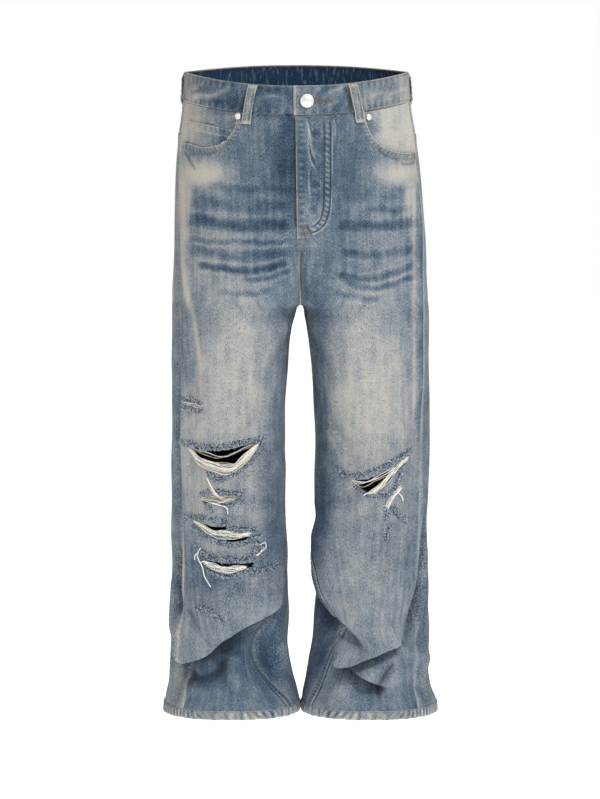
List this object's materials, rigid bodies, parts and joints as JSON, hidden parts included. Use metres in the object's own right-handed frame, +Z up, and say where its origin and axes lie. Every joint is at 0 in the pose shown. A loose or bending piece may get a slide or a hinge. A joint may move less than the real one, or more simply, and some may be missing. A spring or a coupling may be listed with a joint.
{
  "type": "ripped jeans",
  "caption": "Wide-leg ripped denim jeans, filled out as worn, with a faded wash, frayed knee tears, whiskers, stacked folds above the hems and a buttoned waistband with belt loops.",
  "frame": {"origin": "centre of the open waist, at the height of the waistband's top edge at the sides", "axes": "+Z up the body from the hems to the waist, -Y out of the front, +X to the wearer's left"},
  "size_m": [0.4198, 0.2644, 0.9734],
  "materials": {
    "faded_denim": "blue denim faded to a dirty cream on the thighs, twill weave, matt",
    "worn_denim": "mid blue denim, less faded, twill weave, matt",
    "seam_denim": "mid blue denim with pale worn edges, matt",
    "silver_metal": "plain silver-coloured metal, satin with polished rims"
  },
  "bodies": {
    "root": {"front_right": "faded_denim", "front_left": "faded_denim", "back_right": "worn_denim", "back_left": "worn_denim", "yoke_right": "worn_denim", "yoke_left": "worn_denim", "back_pocket_right": "worn_denim", "back_pocket_left": "worn_denim", "waistband": "seam_denim", "hem_right": "seam_denim", "hem_left": "seam_denim", "loop_front_right": "seam_denim", "loop_front_left": "seam_denim", "loop_side_right": "seam_denim", "loop_side_left": "seam_denim", "loop_back": "seam_denim", "fly": "faded_denim", "pocket_facing_right": "faded_denim", "pocket_facing_left": "faded_denim", "coin_pocket": "faded_denim", "button": "silver_metal", "rivet_right": "silver_metal", "rivet_left": "silver_metal"}
  },
  "joints": []
}
